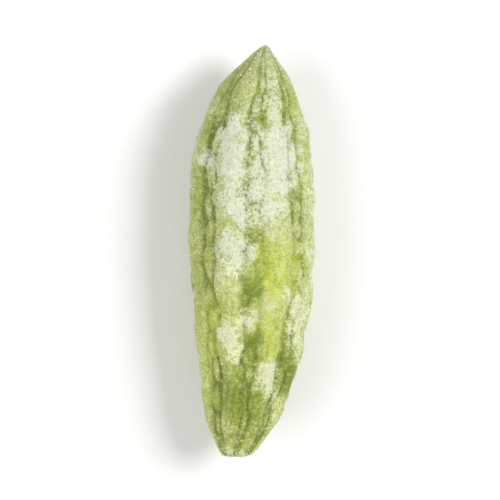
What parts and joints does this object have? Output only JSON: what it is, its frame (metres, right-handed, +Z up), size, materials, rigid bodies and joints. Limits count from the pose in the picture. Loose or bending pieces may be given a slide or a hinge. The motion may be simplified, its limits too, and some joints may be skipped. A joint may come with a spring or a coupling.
{
  "type": "bitter gourd",
  "caption": "Whole frozen bitter gourd lying on its side: pale green fruit with long blunt ridges and rows of warts, a pointed tip, a trimmed stalk end and patches of frost.",
  "frame": {"origin": "on the surface the gourd lies on, under the middle of its outline seen from above", "axes": "+Y along the gourd from the trimmed stalk end to the pointed tip, +Z up, +X to the right when seen from above with the tip away"},
  "size_m": [0.052, 0.168, 0.0483],
  "materials": {
    "skin": "waxy yellow-green plant skin, thinly iced",
    "frost": "dry white frost grains"
  },
  "bodies": {
    "root": {"bitter_gourd": "skin"}
  },
  "joints": []
}
